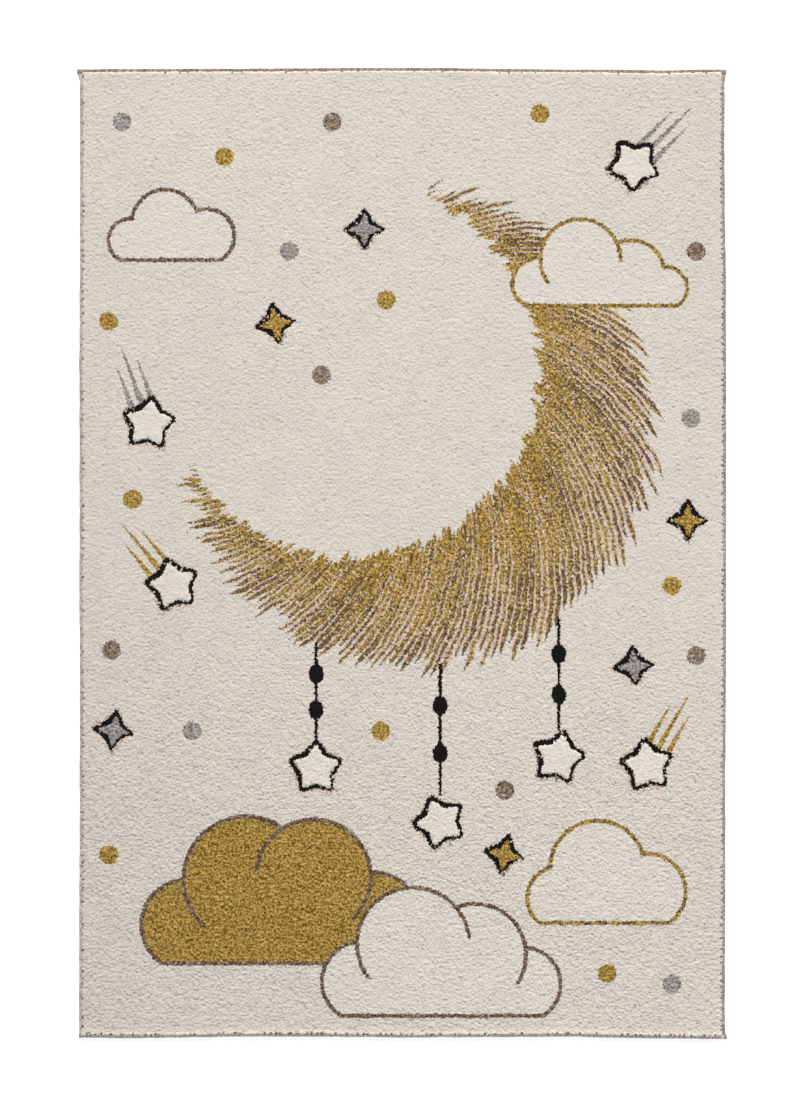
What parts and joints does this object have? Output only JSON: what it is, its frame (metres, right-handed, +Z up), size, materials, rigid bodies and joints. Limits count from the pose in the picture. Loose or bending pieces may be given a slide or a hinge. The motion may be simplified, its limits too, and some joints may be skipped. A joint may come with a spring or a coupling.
{
  "type": "kids rug",
  "caption": "Flat machine-woven nursery rug with a short frisé pile, raised stars with carved outlines, and serged edges on all four sides.",
  "frame": {"origin": "on the floor, under the middle of the rug", "axes": "+Z up out of the pile, +Y along the length towards the top end of the design, +X to the right of the design"},
  "size_m": [1.2078, 1.8048, 0.0132],
  "materials": {
    "pile": "matt heat-set frisé cut pile, cream with mustard, grey, taupe and black yarn in the design",
    "serging": "matt taupe serging yarn, in close slanting turns",
    "ground_weave": "plain woven jute-coloured ground, seen from below"
  },
  "bodies": {
    "root": {"rug_body": "pile", "binding_left": "serging", "binding_right": "serging", "binding_top": "serging", "binding_bottom": "serging"}
  },
  "joints": []
}
